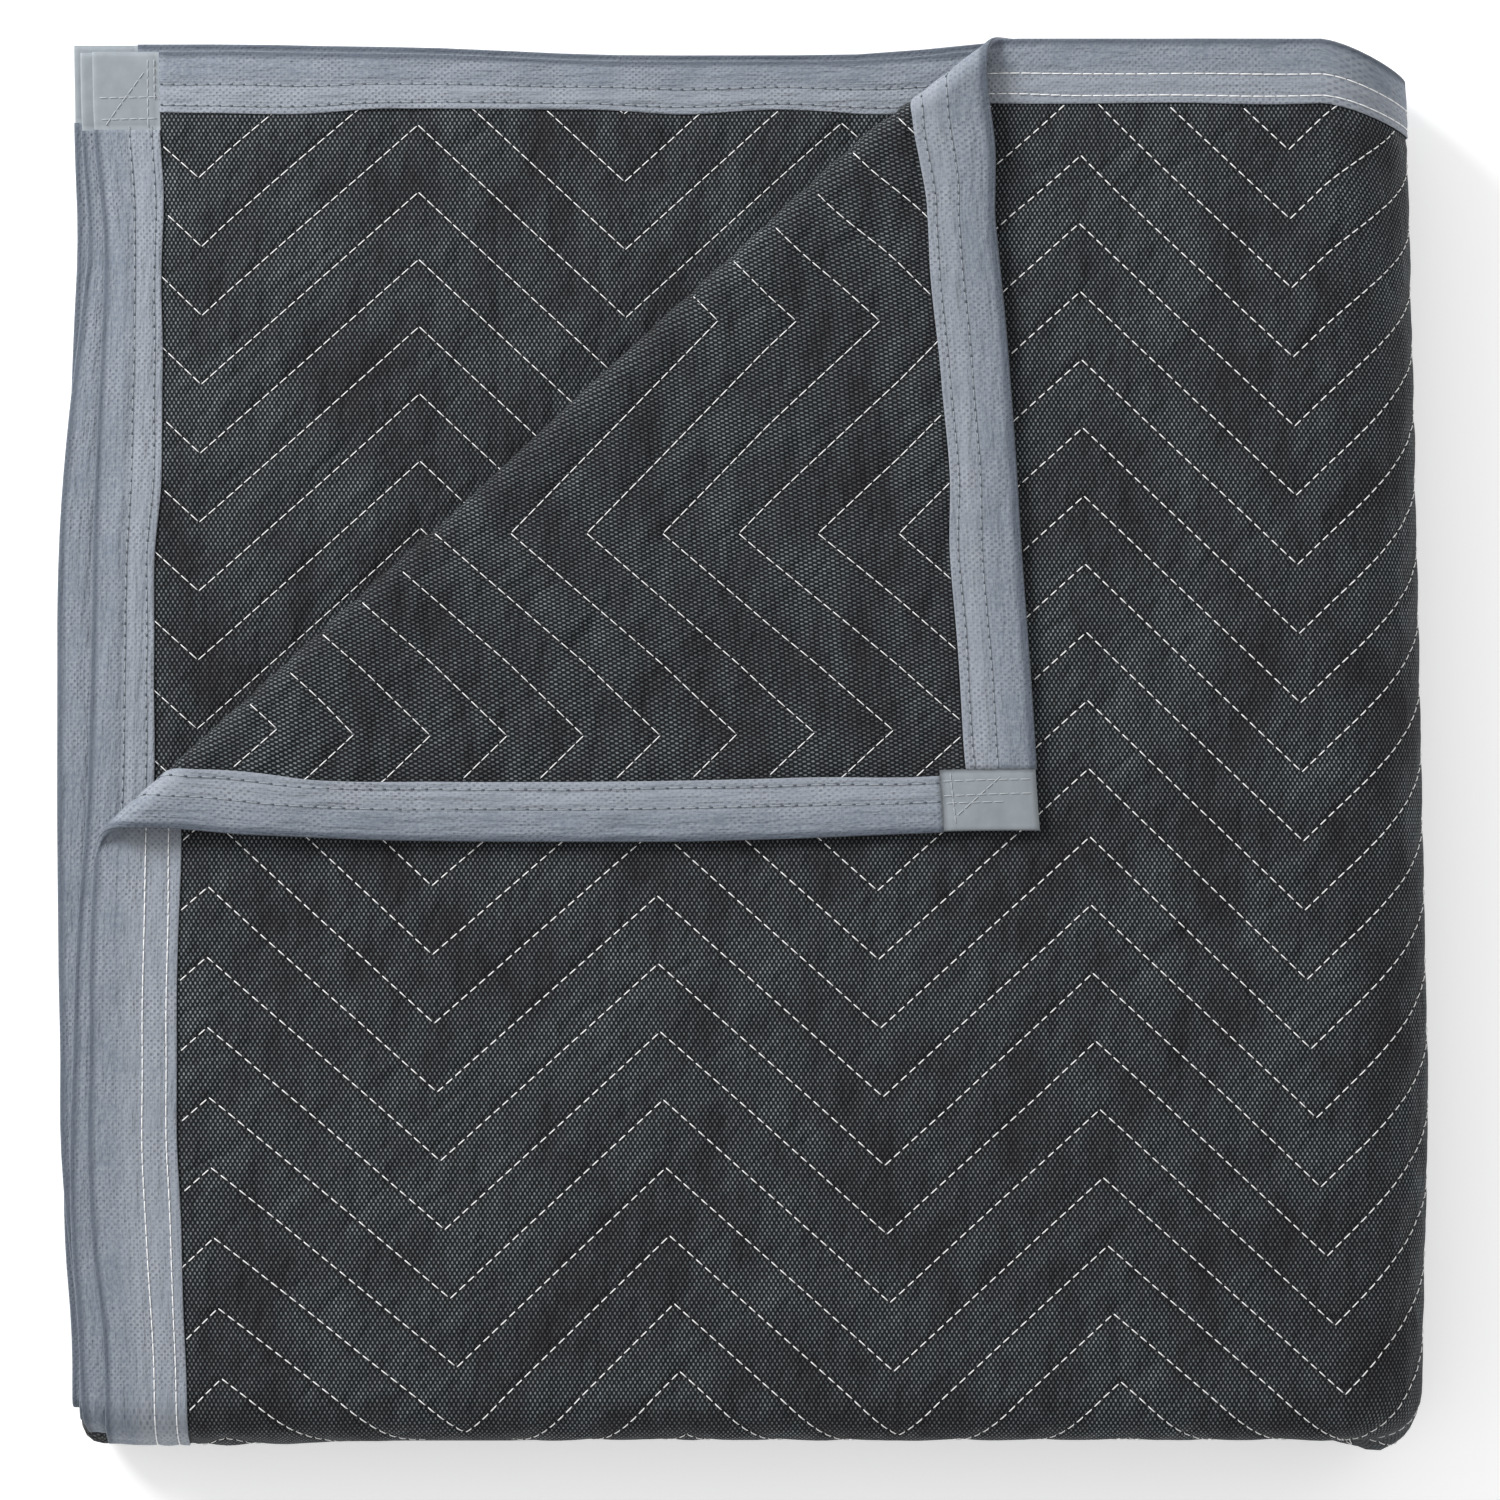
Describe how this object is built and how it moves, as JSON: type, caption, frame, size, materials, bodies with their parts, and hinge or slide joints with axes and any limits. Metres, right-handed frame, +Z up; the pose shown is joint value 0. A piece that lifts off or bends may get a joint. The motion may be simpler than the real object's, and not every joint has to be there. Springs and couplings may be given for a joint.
{
  "type": "folded moving pad",
  "caption": "Quilted moving pad folded into a flat square bundle, bound with tape at its edges, one corner of the top layer turned back.",
  "frame": {"origin": "middle of the folded bundle's footprint, on the surface it rests on", "axes": "+Z up through the layers, +X towards the side where all layers fold over, +Y towards the sheet's upper bound edge"},
  "size_m": [0.4753, 0.489, 0.0727],
  "materials": {
    "quilted_cloth": "matte woven cotton and polyester cloth over batting",
    "binding_tape": "matte embossed non-woven tape",
    "corner_tape": "matte smooth non-woven tape"
  },
  "bodies": {
    "root": {"quilt": "quilted_cloth", "binding_top": "binding_tape", "binding_left": "binding_tape", "binding_bottom": "binding_tape", "binding_right": "binding_tape", "corner_top_left": "corner_tape", "corner_bottom_left": "corner_tape", "corner_bottom_right": "corner_tape", "corner_top_right": "corner_tape"}
  },
  "joints": []
}
